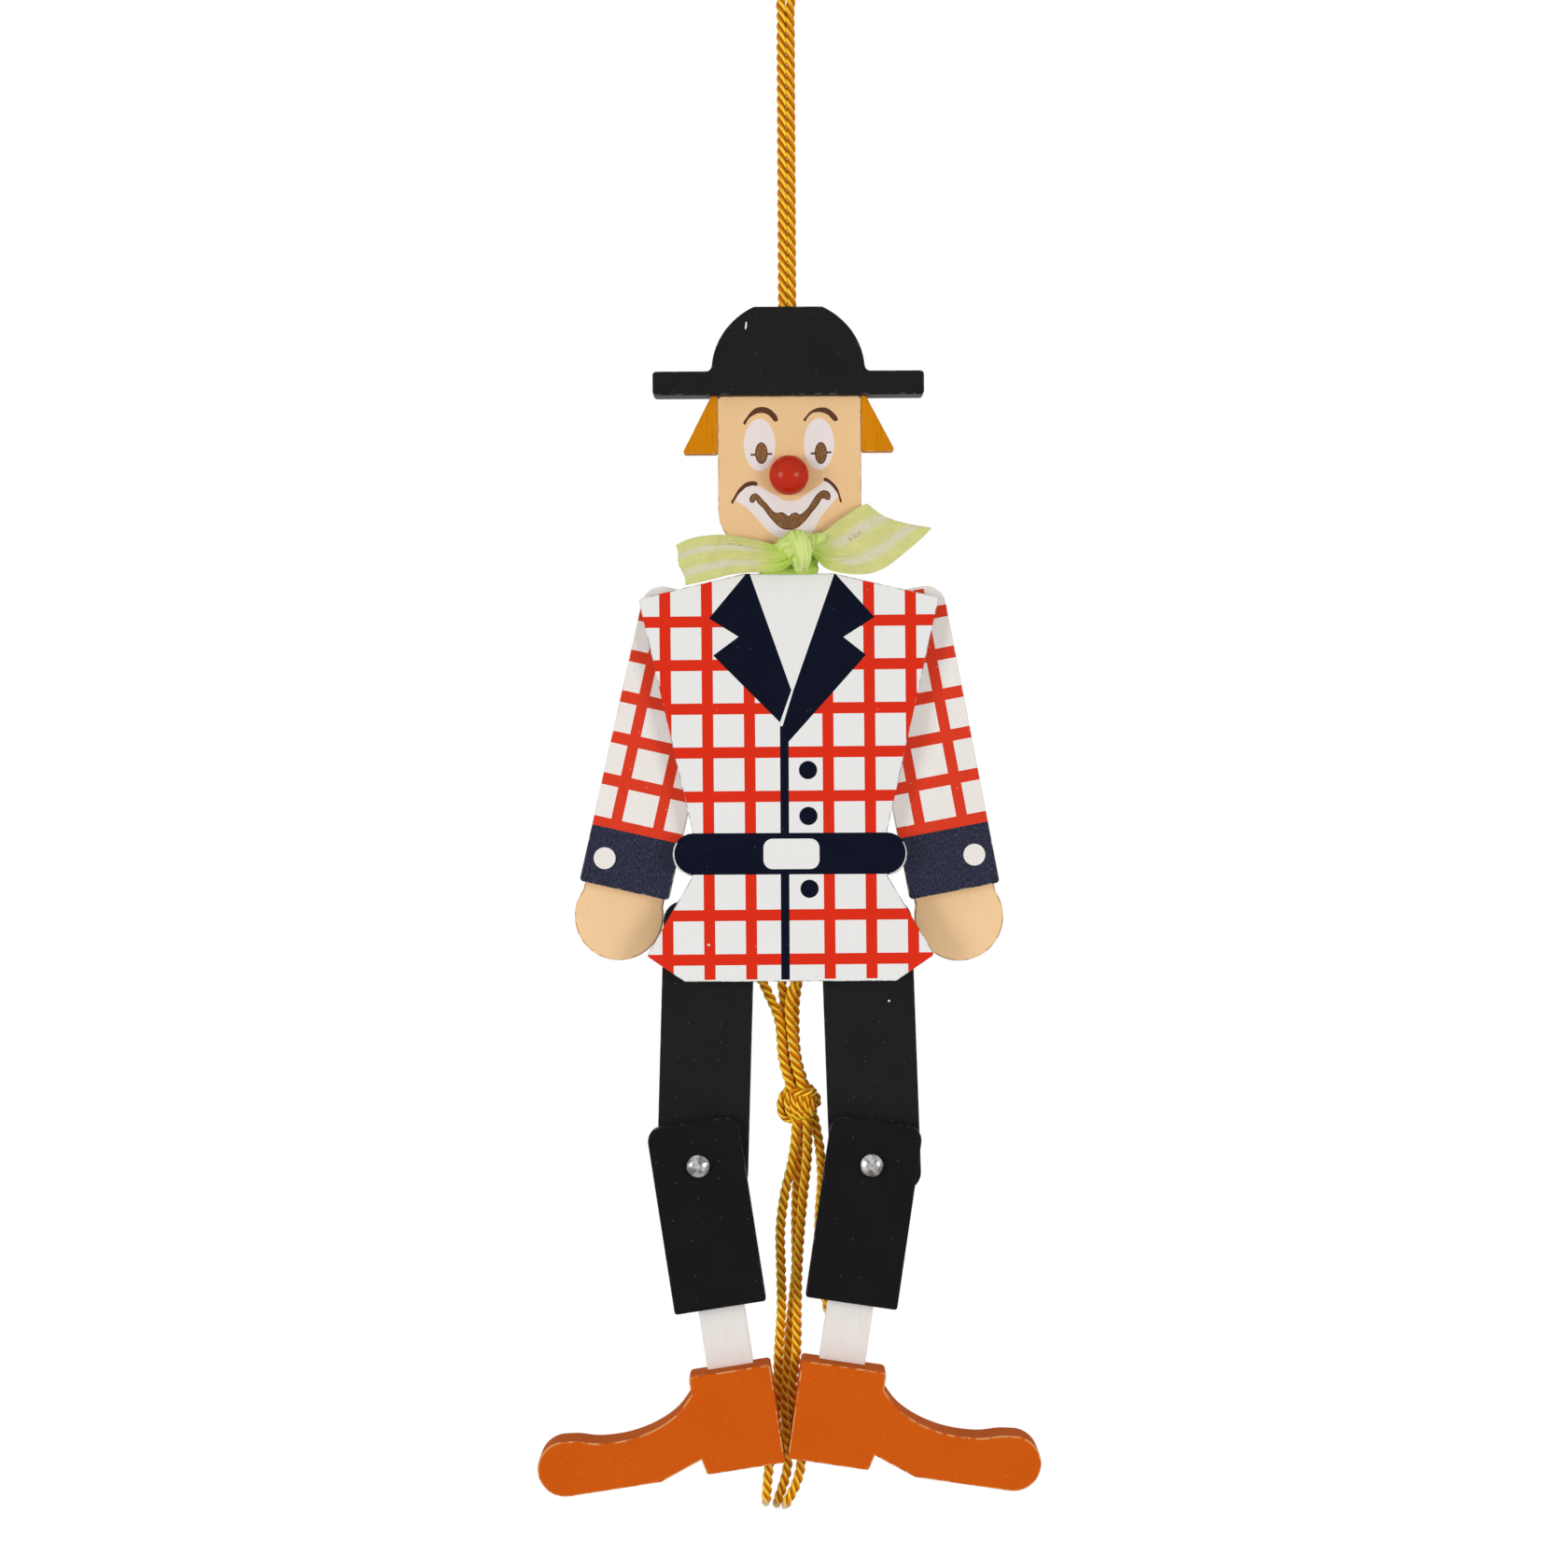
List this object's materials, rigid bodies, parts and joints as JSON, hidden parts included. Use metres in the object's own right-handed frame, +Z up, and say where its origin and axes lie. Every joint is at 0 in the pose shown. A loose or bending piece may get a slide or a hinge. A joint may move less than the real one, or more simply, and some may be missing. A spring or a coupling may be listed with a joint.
{
  "type": "jumping jack",
  "caption": "Flat wooden clown that hangs from a doubled cord. Pulling the knotted cords behind it swings its arms and legs up, while the lower legs hang free.",
  "frame": {"origin": "inside top of the hanging cord's loop, at the middle of the torso board's thickness", "axes": "+X to the viewer's right, +Y away from the viewer through the boards, +Z up along the hanging cord"},
  "size_m": [0.1347, 0.0253, 0.4291],
  "materials": {
    "painted_torso": "satin paint, red check and dark blue on white",
    "painted_sleeve": "satin paint, red check on cream with a dark blue cuff",
    "painted_black": "satin black paint",
    "painted_skin": "satin flesh-coloured paint",
    "painted_hair": "satin orange paint",
    "painted_nose": "gloss red paint",
    "painted_sock": "satin off-white paint",
    "painted_shoe": "worn satin orange-brown paint",
    "bare_wood": "dark stained wood",
    "steel": "polished",
    "gold_cord": "twisted shiny yarn",
    "green_ribbon": "sheer woven ribbon"
  },
  "bodies": {
    "torso": {"torso_board": "painted_torso", "neck_strip": "bare_wood", "head_block": "painted_skin", "hat_board": "painted_black", "hat_pins": "steel", "hair_left": "painted_hair", "hair_right": "painted_hair", "nose_bead": "painted_nose", "shoulder_screws": "steel", "shoulder_washers": "steel", "hip_screws": "steel", "hip_washers": "steel", "ribbon_band": "green_ribbon", "ribbon_knot": "green_ribbon", "ribbon_tail_left": "green_ribbon", "ribbon_tail_right": "green_ribbon", "hanging_cord": "gold_cord"},
    "arm_left": {"sleeve_left": "painted_sleeve", "hand_left": "painted_skin", "arm_cord_stop_left": "gold_cord"},
    "arm_right": {"sleeve_right": "painted_sleeve", "hand_right": "painted_skin", "arm_cord_stop_right": "gold_cord"},
    "thigh_left": {"thigh_left": "painted_black", "leg_cord_stop_left": "gold_cord", "knee_rivet_left": "steel", "knee_washer_left": "steel"},
    "thigh_right": {"thigh_right": "painted_black", "leg_cord_stop_right": "gold_cord", "knee_rivet_right": "steel", "knee_washer_right": "steel"},
    "lower_leg_left": {"calf_left": "painted_black", "sock_left": "painted_sock", "shoe_left": "painted_shoe"},
    "lower_leg_right": {"calf_right": "painted_black", "sock_right": "painted_sock", "shoe_right": "painted_shoe"},
    "pull_cords": {"arm_cord_left": "gold_cord", "arm_cord_right": "gold_cord", "leg_cord_left": "gold_cord", "leg_cord_right": "gold_cord", "pull_knot": "gold_cord", "cord_tail_1": "gold_cord", "cord_tail_2": "gold_cord", "cord_tail_3": "gold_cord", "cord_tail_4": "gold_cord"}
  },
  "joints": [
    {"name": "pull", "type": "slide", "parent": "torso", "child": "pull_cords", "axis": [0, 0, -1], "range_m": [0, 0.01249]},
    {"name": "shoulder_left", "type": "hinge", "parent": "torso", "child": "arm_left", "pos_m": [-0.0291, 0.0045, -0.19], "axis": [0, 1, 0], "range_deg": [0, 99.3]},
    {"name": "shoulder_right", "type": "hinge", "parent": "torso", "child": "arm_right", "pos_m": [0.0315, 0.0045, -0.19], "axis": [0, 1, 0], "range_deg": [-99.3, 0]},
    {"name": "hip_left", "type": "hinge", "parent": "torso", "child": "thigh_left", "pos_m": [-0.0221, 0.0043, -0.2738], "axis": [0, 1, 0], "range_deg": [0, 70.1]},
    {"name": "hip_right", "type": "hinge", "parent": "torso", "child": "thigh_right", "pos_m": [0.0207, 0.0043, -0.2738], "axis": [0, 1, 0], "range_deg": [-70.1, 0]},
    {"name": "knee_left", "type": "hinge", "parent": "thigh_left", "child": "lower_leg_left", "pos_m": [-0.02503, 0, -0.33207], "axis": [0, 1, 0], "range_deg": [0, 80]},
    {"name": "knee_right", "type": "hinge", "parent": "thigh_right", "child": "lower_leg_right", "pos_m": [0.02143, 0, -0.33207], "axis": [0, 1, 0], "range_deg": [-80, 0]}
  ],
  "couplings": [
    {"joint": "shoulder_left", "follows": "pull", "rad_per_m": 138.6},
    {"joint": "shoulder_right", "follows": "pull", "rad_per_m": -138.6},
    {"joint": "hip_left", "follows": "pull", "rad_per_m": 97.8},
    {"joint": "hip_right", "follows": "pull", "rad_per_m": -97.8}
  ]
}
